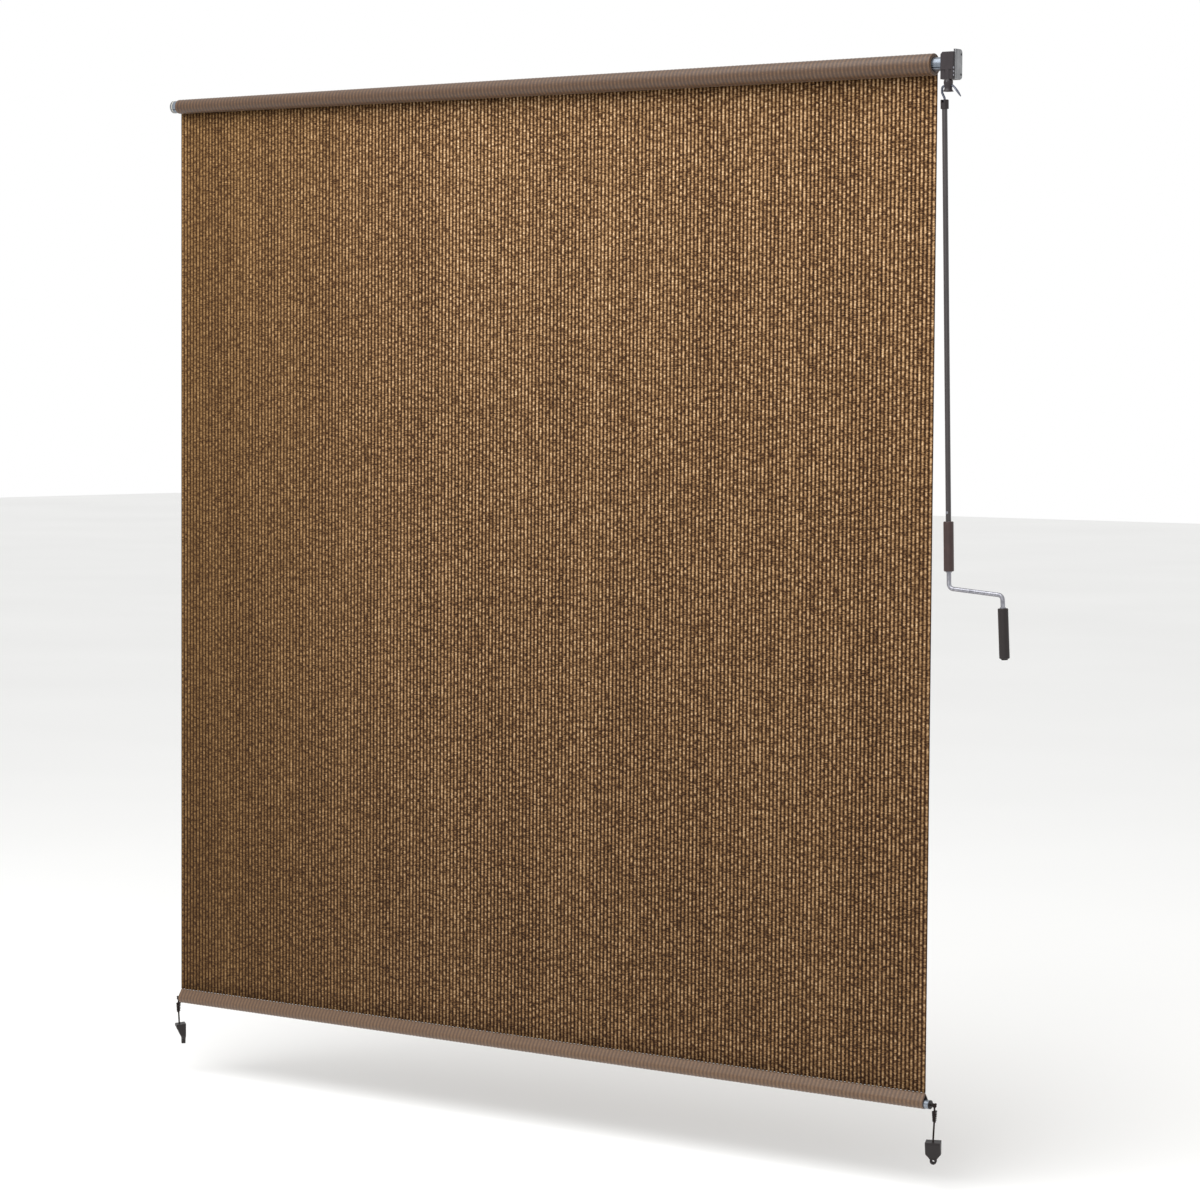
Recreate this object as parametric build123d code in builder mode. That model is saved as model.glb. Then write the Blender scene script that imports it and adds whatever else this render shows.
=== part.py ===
"""Outdoor roller shade with a worm gearbox, a crank wand and a tied-down hem.

Millimetres, +Z up, +X towards the gearbox, -Y towards the person at the crank.
The origin is on the outer face of the gearbox's steel plate, midway between its two holes.
"""

import math
import os

from build123d import *

# Frame: the roll's axis runs along X through this place
roll_y = -14.0
roll_z = 2.3

# Fabric panel
fabric_width = 2360.0
fabric_drop = 2424.5
edge_from_plate = 70.0
cloth_thickness = 0.9
rib_count = 212
rib_depth = 0.7
slit_width = 0.8
slit_margin = 12.0

# Wound roll: looser at the gear end, and crept a little towards it
roll_radius_idle = 18.8
roll_radius_gear = 25.5
roll_inset_idle = 12.0
roll_past_gear = 8.0
roll_turns = 3
turn_gap_share = 0.3
turn_groove_depth = 1.6

# Roller tube and the spline that locks the fabric into its channel
tube_radius = 16.0
tube_wall = 1.3
tube_bare_idle = 13.0
tube_bare_gear = 25.0
channel_angle = 212.0
channel_width = 7.0
channel_depth = 5.2
channel_mouth = 2.2
spline_radius = 1.6

# Plugs, idler pin and idler cup
plug_length = 45.0
plug_flange_radius = 16.6
plug_flange = 1.4
idler_pin_radius = 4.0
idler_pin_seat = 30.0
idler_cup_radius = 16.5
idler_cup_thickness = 4.0
idler_cup_gap = 1.6
cup_hole_radius = 2.2
cup_hole_spacing = 21.0
cup_sink_radius = 4.2

# Gearbox casing
plate_thickness = 2.5
plate_front = -11.5
plate_rear = 19.0
plate_top = 32.2
casing_bottom = -36.5
plate_corner = 9.0
plate_hole_radius = 3.0
plate_hole_spacing = 46.0
plate_hole_from_rear = 5.0
plate_groove_width = 3.0
plate_groove_depth = 0.5
cover_thickness = 2.5
cover_spigot = 4.0
housing_width = 30.0
housing_front = -21.5
housing_top = 25.5
housing_chamfer = 6.0
housing_round = 2.0
recess_top = -15.0
recess_depth = 2.0
boss_radius = 9.0

# Casing fasteners
screw_radius = 1.5
screw_length = 7.5
screw_head_radius = 2.6
screw_head_height = 1.3
screw_y = -17.0
screw_heights = (-11.0, -19.5, -28.0)
rivet_y = 3.0
rivet_heights = (26.0, -29.0)
rivet_radius = 2.0
rivet_head_radius = 3.4
rivet_head_height = 1.2
rivet_grip = 10.0

# Worm and wheel
wheel_teeth = 9
gear_module = 1.8
wheel_face = 9.0
worm_pitch_radius = 4.9
tooth_share = 0.4
gear_addendum = 1.4
gear_dedendum = 1.9
flank_angle = 20.0
worm_x = -17.3
thread_length = 20.0
worm_collar = 2.0
worm_collar_radius = 5.6
worm_journal_radius = 4.0
worm_top_radius = 2.8
worm_top_length = 8.0
bush_wall = 2.0

# Spindle between the roll and the wheel
spindle_square = 10.0
wheel_square = 7.0
spindle_journal_radius = 6.0
spindle_end_radius = 3.2

# Crank eye
eye_gap = 0.8
eye_height = 27.3
eye_socket = 8.5
eye_neck_radius = 8.6
eye_belly_radius = 10.6
eye_waist_radius = 9.2
eye_foot_radius = 12.2
eye_hole_radius = 3.5
eye_hole_drop = 14.5
eye_bell_drop = 20.0
eye_bell_radius = 8.0
eye_pin_radius = 1.5
eye_pin_drop = 4.5

# Hook of the wand
hook_wire_radius = 2.7
hook_shank_offset = -16.2
hook_bend_radius = 6.0
hook_tongue_start = 12.6
hook_tongue_reach = 33.0
hook_tongue_drop = 24.5
hook_tongue_width = 4.6
hook_tongue_thickness = 2.2

# Wand
wand_offset = -9.4
wand_top_drop = 31.0
wand_lean = 1.425
cap_radius = 9.4
cap_length = 21.0
cap_socket = 9.0
cap_slot = 5.0
wand_tube_radius = 6.25
wand_tube_wall = 1.0
wand_tube_end = 963.5
rod_spigot = 40.0
rivet_above_sleeve = 20.0
wand_rivet_radius = 1.6
wand_rivet_head = 0.8
sleeve_radius = 11.8
grip_radius = 12.0
grip_length = 115.0
grip_end_round = 2.5
crank_bend = 1117.8
arm_length = 141.6
arm_slope = 4.3
crank_bend_radius = 12.0
grip_from_arm = 29.3
grip_lean = 3.0
swage_radius = 7.0
swage_height = 2.0
grip_button_radius = 8.0
grip_button_height = 3.0

# Hem and bottom tube
hem_height = 38.5
hem_radius = 14.0
hem_wall = 1.6
bottom_tube_radius = 10.5
bottom_tube_wall = 1.2
bottom_past_idle = 4.5
bottom_past_gear = 15.0
end_cap_flange = 2.5
end_cap_plug = 18.0

# Hold-down ties: the route's places are from the hem's corner, across and down
cord_radius = 2.2
cord_start_inside = 5.0
tie_reach_idle = 6.5
tie_reach_gear = 10.0
tie_fall_idle = ((-0.1, 16.0), (0.0, 34.0), (-1.8, 56.0), (-3.0, 77.0))
tie_fall_gear = ((0.1, 16.0), (0.0, 34.0), (-1.8, 64.0), (-3.1, 93.0))
knot_bulb_radius = 5.6
knot_waist_radius = 3.6
knot_cone_radius = 5.2
knot_tip_radius = 3.0
knot_length = 31.0

# Tie-down anchors
anchor_width = 36.0
anchor_depth = 26.0
anchor_height = 57.0
anchor_shoulder = 33.0
anchor_front_lip = 9.0
anchor_lobe_radius = 8.0
anchor_lobe_depth = 10.0
anchor_hole_radius = 2.6
anchor_sink_radius = 4.8
anchor_groove = 1.5
anchor_round = 1.5
anchor_cord_share = 0.38
anchor_cord_depth = 8.0
anchor_turn_idle = -40.0
anchor_turn_gear = 24.0

# Fits
running_gap = 0.05
seat_gap = 0.03
free_gap = 0.3
turning_gap = 0.8

# Worked out from the dimensions above, along X
gear_edge = -edge_from_plate
idle_edge = gear_edge - fabric_width
roll_gear_end = gear_edge + roll_past_gear
roll_idle_end = idle_edge + roll_inset_idle
tube_gear_end = roll_gear_end + tube_bare_gear
tube_idle_end = roll_idle_end - tube_bare_idle
tube_inner = tube_radius - tube_wall
cover_right = -plate_thickness
housing_right = cover_right - cover_thickness
housing_left = housing_right - housing_width
wheel_left = worm_x - wheel_face / 2
wheel_right = worm_x + wheel_face / 2
chamber_left = wheel_left - turning_gap
spigot_end = wheel_right + turning_gap

# Worked out for the gears
tooth_pitch = math.pi * gear_module
wheel_pitch_radius = gear_module * wheel_teeth / 2
wheel_tip_radius = wheel_pitch_radius + gear_addendum
wheel_root_radius = wheel_pitch_radius - gear_dedendum
worm_y = -(wheel_pitch_radius + worm_pitch_radius)
worm_tip_radius = worm_pitch_radius + gear_addendum
worm_root_radius = worm_pitch_radius - gear_dedendum
lead_angle = math.atan2(tooth_pitch, 2 * math.pi * worm_pitch_radius)
half_tooth = tooth_share * tooth_pitch / 2
flank_slope = math.tan(math.radians(flank_angle))
chamber_radius = wheel_tip_radius + turning_gap
worm_bore = worm_tip_radius + free_gap
worm_half = thread_length / 2 + worm_collar

# Worked out for the crank and the wand
eye_top = casing_bottom - eye_gap
eye_hole_z = eye_top - eye_hole_drop
wand_top_x = worm_x + wand_offset
wand_top_z = eye_hole_z - wand_top_drop
lean = math.radians(wand_lean)
rod_radius = wand_tube_radius - wand_tube_wall - seat_gap
sleeve_start = wand_tube_end + free_gap

# Worked out for the panel and the hem
roll_taper = (roll_radius_gear - roll_radius_idle) / (roll_gear_end - roll_idle_end)
panel_y_idle = roll_radius_idle - roll_taper * roll_inset_idle + free_gap + rib_depth
panel_length = fabric_width * math.hypot(1, roll_taper)
hem_z = hem_radius - fabric_drop
hem_apex = hem_height - hem_radius
bottom_tube_z = hem_z - (hem_radius - hem_wall - bottom_tube_radius - free_gap / 2)

roll_axis = Axis((0, roll_y, roll_z), (1, 0, 0))
worm_axis = Axis((worm_x, roll_y + worm_y, 0), (0, 0, 1))
along_panel = Vector(1, roll_taper, 0).normalized()
through_panel = Vector(-roll_taper, 1, 0).normalized()


def across(x, y=0.0, z=0.0):
    """Plane across the roll at x: its own X is +Y and its own Y is up."""
    return Plane(origin=(x, roll_y + y, roll_z + z), x_dir=(0, 1, 0), z_dir=(1, 0, 0))


def facing(y):
    """Upright plane parallel to the wall at y: its own X is +X and its own Y is up."""
    return Plane(origin=(0, roll_y + y, roll_z), x_dir=(1, 0, 0), z_dir=(0, -1, 0))


def level(z):
    """Level plane at height z above the roll's axis."""
    return Plane(origin=(0, roll_y, roll_z + z), x_dir=(1, 0, 0), z_dir=(0, 0, 1))


def panel_level(z):
    """Level plane whose own X runs along the panel from its idle edge and own Y through the cloth."""
    corner = (idle_edge, roll_y + panel_y_idle, roll_z + z)
    return Plane(origin=corner, x_dir=along_panel, z_dir=(0, 0, 1))


def hem_section(distance, z=hem_z):
    """Plane across the hem at a distance from its idle end, with its own Y up."""
    corner = panel_level(z).from_local_coords((distance, cloth_thickness / 2, 0))
    return Plane(origin=corner, x_dir=through_panel, z_dir=along_panel)


def save(piece, label):
    """Label a finished piece and write it out."""
    piece.part.label = label
    export_step(piece.part, f"parts/{label}.step")


os.makedirs("parts", exist_ok=True)

# Fabric panel: one knitted wall, ridged by its rows, with open slits between pairs of rows
rib_pitch = panel_length / rib_count
panel_bottom = hem_z + hem_apex + free_gap
with BuildPart() as fabric_panel:
    with BuildSketch(panel_level(panel_bottom)):
        with BuildLine():
            ridges = []
            for row in range(rib_count):
                ridges.append((row * rib_pitch, 0))
                ridges.append(((row + 0.5) * rib_pitch, -rib_depth))
            Polyline(
                (0, cloth_thickness),
                *ridges,
                (panel_length, 0),
                (panel_length, cloth_thickness),
                close=True,
            )
        make_face()
    extrude(amount=-panel_bottom)
    with BuildSketch(panel_level(panel_bottom + slit_margin)):
        with Locations((panel_length / 2, 0)):
            with GridLocations(2 * rib_pitch, 1, rib_count // 2 - 1, 1):
                Rectangle(slit_width, 4 * cloth_thickness)
    extrude(amount=-panel_bottom - 2 * slit_margin, mode=Mode.SUBTRACT)
save(fabric_panel, "fabric_panel")

# Fabric roll, with its turns showing at both ends
roll_bore = tube_radius + seat_gap
with BuildPart() as fabric_roll:
    with BuildSketch(facing(0)):
        with BuildLine():
            Polyline(
                (roll_idle_end, roll_bore),
                (roll_idle_end, roll_radius_idle),
                (roll_gear_end, roll_radius_gear),
                (roll_gear_end, roll_bore),
                close=True,
            )
        make_face()
    revolve(axis=roll_axis)
    with BuildSketch(facing(0)):
        for end, outer in ((roll_idle_end, roll_radius_idle), (roll_gear_end, roll_radius_gear)):
            turn_pitch = (outer - roll_bore) / roll_turns
            for turn in range(1, roll_turns):
                with Locations((end, roll_bore + turn * turn_pitch)):
                    Rectangle(2 * turn_groove_depth, turn_gap_share * turn_pitch)
    revolve(axis=roll_axis, mode=Mode.SUBTRACT)
save(fabric_roll, "fabric_roll")

# Roller tube with its channel for the spline
channel_radius = tube_inner - channel_depth / 2
with BuildPart() as roller_tube:
    with BuildSketch(across(tube_idle_end)):
        Circle(tube_radius)
        Circle(tube_inner, mode=Mode.SUBTRACT)
        with PolarLocations(channel_radius, 1, channel_angle):
            Rectangle(channel_depth + tube_wall / 2, channel_width)
            Circle(spline_radius + free_gap, mode=Mode.SUBTRACT)
        with PolarLocations(channel_radius + tube_radius / 2, 1, channel_angle):
            Rectangle(tube_radius, channel_mouth, mode=Mode.SUBTRACT)
    extrude(amount=tube_gear_end - tube_idle_end)
save(roller_tube, "roller_tube")

with BuildPart() as fabric_spline:
    with BuildSketch(across(roll_idle_end)):
        with PolarLocations(channel_radius, 1, channel_angle):
            Circle(spline_radius)
    extrude(amount=roll_gear_end - roll_idle_end)
save(fabric_spline, "fabric_spline")


# Section of both plugs, notched for the tube's channel
with BuildSketch() as plug_section:
    Circle(tube_inner - seat_gap)
    with PolarLocations(tube_inner - channel_depth / 2, 1, channel_angle):
        notch_depth = channel_depth + tube_wall + 2 * free_gap
        Rectangle(notch_depth, channel_width + 2 * free_gap, mode=Mode.SUBTRACT)

# Idler plug, pin and cup
with BuildPart() as idler_plug:
    with BuildSketch(across(tube_idle_end)):
        add(plug_section.sketch)
    extrude(amount=plug_length)
    with BuildSketch(across(tube_idle_end - plug_flange)):
        Circle(plug_flange_radius)
    extrude(amount=plug_flange)
    with BuildSketch(across(tube_idle_end - plug_flange)):
        Circle(idler_pin_radius + seat_gap)
    extrude(amount=idler_pin_seat + seat_gap, mode=Mode.SUBTRACT)
save(idler_plug, "idler_plug")

cup_face = tube_idle_end - plug_flange - idler_cup_gap
cup_back = cup_face - idler_cup_thickness
with BuildPart() as idler_pin:
    with BuildSketch(across(cup_back + free_gap)):
        Circle(idler_pin_radius)
    extrude(amount=tube_idle_end - plug_flange + idler_pin_seat - cup_back - free_gap)
    chamfer(idler_pin.edges().group_by(Axis.X)[0], 0.6)
save(idler_pin, "idler_pin")

with BuildPart() as idler_cup:
    with BuildSketch(across(cup_back)):
        Circle(idler_cup_radius)
        Circle(idler_pin_radius + running_gap, mode=Mode.SUBTRACT)
    extrude(amount=idler_cup_thickness)
    with Locations(across(cup_face)):
        with GridLocations(1, cup_hole_spacing, 1, 2):
            CounterSinkHole(cup_hole_radius, cup_sink_radius)
save(idler_cup, "idler_cup")

# Drive plug, turned by the spindle's square
with BuildPart() as drive_plug:
    with BuildSketch(across(tube_gear_end - plug_length)):
        add(plug_section.sketch)
    extrude(amount=plug_length)
    with BuildSketch(across(tube_gear_end)):
        Circle(plug_flange_radius)
    extrude(amount=plug_flange)
    with BuildSketch(across(tube_gear_end - plug_length)):
        Rectangle(spindle_square + 2 * seat_gap, spindle_square + 2 * seat_gap)
    extrude(amount=plug_length + plug_flange, mode=Mode.SUBTRACT)
save(drive_plug, "drive_plug")

# Spindle: square in the plug, round in the wall, square in the wheel, round in the cover
with BuildPart() as drive_spindle:
    with BuildSketch(across(tube_gear_end - plug_length)):
        Rectangle(spindle_square, spindle_square)
    extrude(amount=housing_left - free_gap - tube_gear_end + plug_length)
    with BuildSketch(across(housing_left - free_gap)):
        Circle(spindle_journal_radius)
    extrude(amount=wheel_left - housing_left + free_gap)
    with BuildSketch(across(wheel_left)):
        Rectangle(wheel_square, wheel_square)
    extrude(amount=wheel_face)
    with BuildSketch(across(wheel_right)):
        Circle(spindle_end_radius)
    extrude(amount=housing_right - wheel_right)
save(drive_spindle, "drive_spindle")


def tooth_edge(radius, sign):
    """Place on one flank of the wheel's tooth that points at the worm, at a radius."""
    half = half_tooth - (radius - wheel_pitch_radius) * flank_slope
    return Vector(radius, sign * half)


# Worm wheel: its teeth lean with the worm's thread, so the section turns from face to face
wheel_twist = math.degrees(wheel_face / 2 * math.tan(lead_angle) / wheel_pitch_radius)
with BuildPart() as worm_wheel:
    for share in (-1, 0, 1):
        with BuildSketch(across(worm_x + share * wheel_face / 2)):
            with BuildLine():
                outline = []
                for tooth in range(wheel_teeth):
                    turned = 180 + tooth * 360 / wheel_teeth + share * wheel_twist
                    for radius, sign in (
                        (wheel_root_radius, -1),
                        (wheel_tip_radius, -1),
                        (wheel_tip_radius, 1),
                        (wheel_root_radius, 1),
                    ):
                        outline.append(tooth_edge(radius, sign).rotate(Axis.Z, turned))
                Polyline(*outline, close=True)
            make_face()
    loft(ruled=True)
    with BuildSketch(across(wheel_left)):
        Rectangle(wheel_square + 2 * seat_gap, wheel_square + 2 * seat_gap)
    extrude(amount=wheel_face, mode=Mode.SUBTRACT)
save(worm_wheel, "worm_wheel")

# Worm: a single thread on a shaft that runs down to the crank eye
turns_each_way = math.ceil(thread_length / 2 / tooth_pitch) + 0.75
thread_start = -turns_each_way * tooth_pitch
root_half = half_tooth + gear_dedendum * flank_slope
tip_half = half_tooth - gear_addendum * flank_slope
with BuildPart() as worm_shaft:
    helix_centre = (worm_x, roll_y + worm_y, roll_z + thread_start)
    with BuildLine():
        Helix(tooth_pitch, -2 * thread_start, worm_pitch_radius, center=helix_centre)
    with BuildSketch(Plane(
        origin=(worm_x + worm_pitch_radius, roll_y + worm_y, roll_z + thread_start),
        x_dir=(1, 0, 0),
        z_dir=(0, math.cos(lead_angle), math.sin(lead_angle)),
    )):
        with BuildLine():
            sunk = gear_dedendum + free_gap
            Polyline(
                (-sunk, -root_half),
                (gear_addendum, -tip_half),
                (gear_addendum, tip_half),
                (-sunk, root_half),
                close=True,
            )
        make_face()
    sweep(is_frenet=True)
    with BuildSketch(level(-thread_length / 2)):
        with Locations((worm_x, worm_y)):
            Circle(worm_bore)
    extrude(amount=thread_length, mode=Mode.INTERSECT)
    with BuildSketch(facing(worm_y)):
        with BuildLine():
            shaft_bottom = eye_top - eye_socket + free_gap
            Polyline(
                (worm_x, worm_half + worm_top_length),
                (worm_x + worm_top_radius, worm_half + worm_top_length),
                (worm_x + worm_top_radius, worm_half),
                (worm_x + worm_collar_radius, worm_half),
                (worm_x + worm_collar_radius, worm_half - worm_collar),
                (worm_x + worm_root_radius, worm_half - worm_collar),
                (worm_x + worm_root_radius, -worm_half + worm_collar),
                (worm_x + worm_collar_radius, -worm_half + worm_collar),
                (worm_x + worm_collar_radius, -worm_half),
                (worm_x + worm_journal_radius, -worm_half),
                (worm_x + worm_journal_radius, shaft_bottom),
                (worm_x, shaft_bottom),
                close=True,
            )
        make_face()
    revolve(axis=worm_axis)
    with BuildSketch(facing(worm_y)):
        with Locations((worm_x, eye_top - eye_pin_drop)):
            Circle(eye_pin_radius + seat_gap)
    extrude(amount=2 * worm_journal_radius, both=True, mode=Mode.SUBTRACT)
save(worm_shaft, "worm_shaft")

# Bushes: bronze sleeves pressed into the casing, two for the worm and two for the spindle
lower_bush_top = -worm_half - free_gap
with BuildPart() as worm_bushes:
    with BuildSketch(level(casing_bottom)):
        with Locations((worm_x, worm_y)):
            Circle(worm_bore - seat_gap)
            Circle(worm_journal_radius + running_gap, mode=Mode.SUBTRACT)
    extrude(amount=lower_bush_top - casing_bottom)
    with BuildSketch(level(worm_half + free_gap)):
        with Locations((worm_x, worm_y)):
            Circle(worm_top_radius + bush_wall)
            Circle(worm_top_radius + running_gap, mode=Mode.SUBTRACT)
    extrude(amount=worm_top_length)
save(worm_bushes, "worm_bushes")

with BuildPart() as spindle_bushes:
    with BuildSketch(across(housing_left)):
        Circle(spindle_journal_radius + bush_wall)
        Circle(spindle_journal_radius + running_gap, mode=Mode.SUBTRACT)
    extrude(amount=chamber_left - housing_left)
    with BuildSketch(across(spigot_end)):
        Circle(spindle_end_radius + bush_wall)
        Circle(spindle_end_radius + running_gap, mode=Mode.SUBTRACT)
    extrude(amount=housing_right - spigot_end)
save(spindle_bushes, "spindle_bushes")

# Gearbox housing: open to the right for the wheel and from below for the worm
with BuildPart() as gear_housing:
    with BuildSketch(facing(housing_front)):
        with BuildLine():
            Polyline(
                (housing_left, casing_bottom),
                (housing_left, housing_top - housing_chamfer),
                (housing_left + housing_chamfer, housing_top),
                (housing_right, housing_top),
                (housing_right, casing_bottom),
                close=True,
            )
        make_face()
    extrude(amount=housing_front - plate_rear)
    fillet(gear_housing.edges().filter_by(Axis.Z).group_by(Axis.X)[0], housing_round)
    with BuildSketch(level(casing_bottom)):
        with Locations(((housing_left + housing_right) / 2, housing_front)):
            Rectangle(housing_width, 2 * recess_depth)
    extrude(amount=recess_top - casing_bottom, mode=Mode.SUBTRACT)
    with BuildSketch(level(casing_bottom)):
        with Locations((worm_x, worm_y)):
            Circle(boss_radius)
    extrude(amount=recess_top - casing_bottom)
    with BuildSketch(across(chamber_left)):
        Circle(chamber_radius)
    extrude(amount=housing_right - chamber_left, mode=Mode.SUBTRACT)
    with BuildSketch(across(housing_left)):
        Circle(spindle_journal_radius + bush_wall + seat_gap)
    extrude(amount=chamber_left - housing_left, mode=Mode.SUBTRACT)
    with BuildSketch(level(casing_bottom)):
        with Locations((worm_x, worm_y)):
            Circle(worm_bore)
    extrude(amount=worm_half + free_gap - casing_bottom, mode=Mode.SUBTRACT)
    with BuildSketch(level(worm_half + free_gap)):
        with Locations((worm_x, worm_y)):
            Circle(worm_top_radius + bush_wall + seat_gap)
    extrude(amount=worm_top_length + free_gap, mode=Mode.SUBTRACT)
    with BuildSketch(across(housing_right)):
        with Locations(*[(screw_y, height) for height in screw_heights]):
            Circle(screw_radius + seat_gap)
    extrude(amount=cover_thickness - screw_length - free_gap, mode=Mode.SUBTRACT)
    with BuildSketch(across(housing_right)):
        with Locations(*[(rivet_y, height) for height in rivet_heights]):
            Circle(rivet_radius + seat_gap)
    extrude(amount=-rivet_grip, mode=Mode.SUBTRACT)
save(gear_housing, "gear_housing")

# Cover: closes the housing's right side, with a spigot that keeps the wheel in place
with BuildPart() as gear_cover:
    with BuildSketch(across(housing_right)):
        with BuildLine():
            Polyline(
                (housing_front, casing_bottom),
                (housing_front, housing_top),
                (plate_front, housing_top),
                (plate_front, plate_top),
                (plate_rear, plate_top),
                (plate_rear, casing_bottom),
                close=True,
            )
        make_face()
    extrude(amount=cover_thickness)
    fillet(gear_cover.edges().filter_by(Axis.X).group_by(Axis.Y)[-1], plate_corner)
    with BuildSketch(across(spigot_end)):
        Circle(chamber_radius - seat_gap)
    extrude(amount=housing_right - spigot_end)
    with BuildSketch(across(spigot_end)):
        Circle(spindle_end_radius + bush_wall + seat_gap)
    extrude(amount=housing_right - spigot_end, mode=Mode.SUBTRACT)
    with BuildSketch(level(-chamber_radius)):
        with Locations((worm_x, worm_y)):
            Circle(worm_bore)
    extrude(amount=2 * chamber_radius, mode=Mode.SUBTRACT)
    with BuildSketch(across(housing_right)):
        with Locations(*[(screw_y, height) for height in screw_heights]):
            Circle(screw_radius + seat_gap)
        with Locations(*[(rivet_y, height) for height in rivet_heights]):
            Circle(rivet_radius + seat_gap)
        with Locations((plate_rear - plate_hole_from_rear, -roll_z)):
            with GridLocations(1, plate_hole_spacing, 1, 2):
                Circle(plate_hole_radius)
    extrude(amount=cover_thickness, mode=Mode.SUBTRACT)
save(gear_cover, "gear_cover")

# Steel side plate, fixed to the wall or post through its two holes
with BuildPart() as gear_bracket:
    with BuildSketch(across(cover_right)):
        with Locations(((plate_front + plate_rear) / 2, (plate_top + casing_bottom) / 2)):
            Rectangle(plate_rear - plate_front, plate_top - casing_bottom)
    extrude(amount=plate_thickness)
    fillet(gear_bracket.edges().filter_by(Axis.X).group_by(Axis.Y)[-1], plate_corner)
    with BuildSketch(across(cover_right)):
        with Locations((plate_rear - plate_hole_from_rear, -roll_z)):
            with GridLocations(1, plate_hole_spacing, 1, 2):
                Circle(plate_hole_radius)
    extrude(amount=plate_thickness, mode=Mode.SUBTRACT)
    with BuildSketch(across(0)):
        with Locations((plate_front + plate_hole_from_rear, (plate_top + casing_bottom) / 2)):
            Rectangle(plate_groove_width, plate_top - casing_bottom)
    extrude(amount=-plate_groove_depth, mode=Mode.SUBTRACT)
    with Locations(across(0)):
        with Locations(*[(rivet_y, height) for height in rivet_heights]):
            CounterSinkHole(rivet_radius + seat_gap, rivet_head_radius + seat_gap)
save(gear_bracket, "gear_bracket")

with BuildPart() as bracket_rivets:
    with BuildSketch(across(0)):
        with Locations(*[(rivet_y, height) for height in rivet_heights]):
            Circle(rivet_head_radius)
    extrude(amount=-(rivet_head_radius - rivet_radius), taper=45)
    with BuildSketch(across(0)):
        with Locations(*[(rivet_y, height) for height in rivet_heights]):
            Circle(rivet_radius)
    extrude(amount=housing_right - rivet_grip + free_gap)
save(bracket_rivets, "bracket_rivets")

with BuildPart() as cover_screws:
    with BuildSketch(across(cover_right)):
        with Locations(*[(screw_y, height) for height in screw_heights]):
            Circle(screw_head_radius)
    extrude(amount=screw_head_height)
    chamfer(cover_screws.edges().group_by(Axis.X)[-1], screw_head_height / 3)
    with BuildSketch(across(cover_right)):
        with Locations(*[(screw_y, height) for height in screw_heights]):
            Circle(screw_radius)
    extrude(amount=-screw_length)
save(cover_screws, "cover_screws")

# Crank eye: a bell on the worm's shaft with a cross hole for the hook
with BuildPart() as crank_eye:
    with BuildSketch(facing(worm_y)):
        with BuildLine():
            eye_foot = eye_top - eye_height
            Line((worm_x, eye_top), (worm_x + eye_neck_radius, eye_top))
            Spline(
                (worm_x + eye_neck_radius, eye_top),
                (worm_x + eye_belly_radius, eye_top - 0.33 * eye_height),
                (worm_x + eye_waist_radius, eye_top - 0.78 * eye_height),
                (worm_x + eye_foot_radius, eye_foot + 1.0),
            )
            Polyline(
                (worm_x + eye_foot_radius, eye_foot + 1.0),
                (worm_x + eye_foot_radius, eye_foot),
                (worm_x, eye_foot),
                (worm_x, eye_top),
            )
        make_face()
    revolve(axis=worm_axis)
    with BuildSketch(level(eye_top)):
        with Locations((worm_x, worm_y)):
            Circle(worm_journal_radius + seat_gap)
    extrude(amount=-eye_socket, mode=Mode.SUBTRACT)
    with BuildSketch(level(eye_foot)):
        with Locations((worm_x, worm_y)):
            Circle(eye_bell_radius)
    extrude(amount=eye_height - eye_bell_drop, mode=Mode.SUBTRACT)
    with BuildSketch(across(worm_x, worm_y, eye_hole_z)):
        Circle(eye_hole_radius)
    extrude(amount=eye_foot_radius + 1, both=True, mode=Mode.SUBTRACT)
    with BuildSketch(facing(worm_y)):
        with Locations((worm_x, eye_top - eye_pin_drop)):
            Circle(eye_pin_radius + seat_gap)
    extrude(amount=eye_foot_radius, both=True, mode=Mode.SUBTRACT)
save(crank_eye, "crank_eye")

with BuildPart() as eye_pin:
    with BuildSketch(facing(worm_y)):
        with Locations((worm_x, eye_top - eye_pin_drop)):
            Circle(eye_pin_radius)
    extrude(amount=eye_neck_radius + eye_pin_radius / 2, both=True)
save(eye_pin, "eye_pin")

# Hook: a wire from the wand's cap, over through the eye, ending in a flattened tongue
tongue_x = worm_x + hook_tongue_start
shank_x = worm_x + hook_shank_offset
wire_end = wand_top_z - cap_length + cap_socket + free_gap
with BuildPart() as wand_hook:
    with BuildLine(facing(worm_y)):
        FilletPolyline(
            (wand_top_x, wire_end),
            (wand_top_x, wand_top_z + 0.6 * hook_bend_radius),
            (shank_x, eye_hole_z - 2.5 * hook_bend_radius),
            (shank_x, eye_hole_z),
            (tongue_x, eye_hole_z),
            radius=[hook_bend_radius, hook_bend_radius, hook_bend_radius],
        )
    with BuildSketch(level(wire_end)):
        with Locations((wand_top_x, worm_y)):
            Circle(hook_wire_radius)
    sweep()
    for share, width, thickness, pitch in (
        (0.0, hook_wire_radius, hook_wire_radius, 0),
        (0.35, hook_tongue_width, hook_tongue_thickness, 50),
        (0.7, hook_tongue_width, hook_tongue_thickness * 0.9, 48),
        (1.0, hook_wire_radius * 0.7, hook_tongue_thickness * 0.5, 30),
    ):
        run = math.sin(share * math.pi / 2) if share < 1 else 1.0
        place = Vector(
            tongue_x + share * (hook_tongue_reach - hook_tongue_start),
            roll_y + worm_y,
            roll_z + eye_hole_z - hook_tongue_drop * share ** 1.15,
        )
        heading = (math.cos(math.radians(pitch)), 0, -math.sin(math.radians(pitch)))
        with BuildSketch(Plane(origin=place, x_dir=(0, 1, 0), z_dir=heading)):
            Ellipse(width, thickness)
    loft()
save(wand_hook, "wand_hook")


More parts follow.
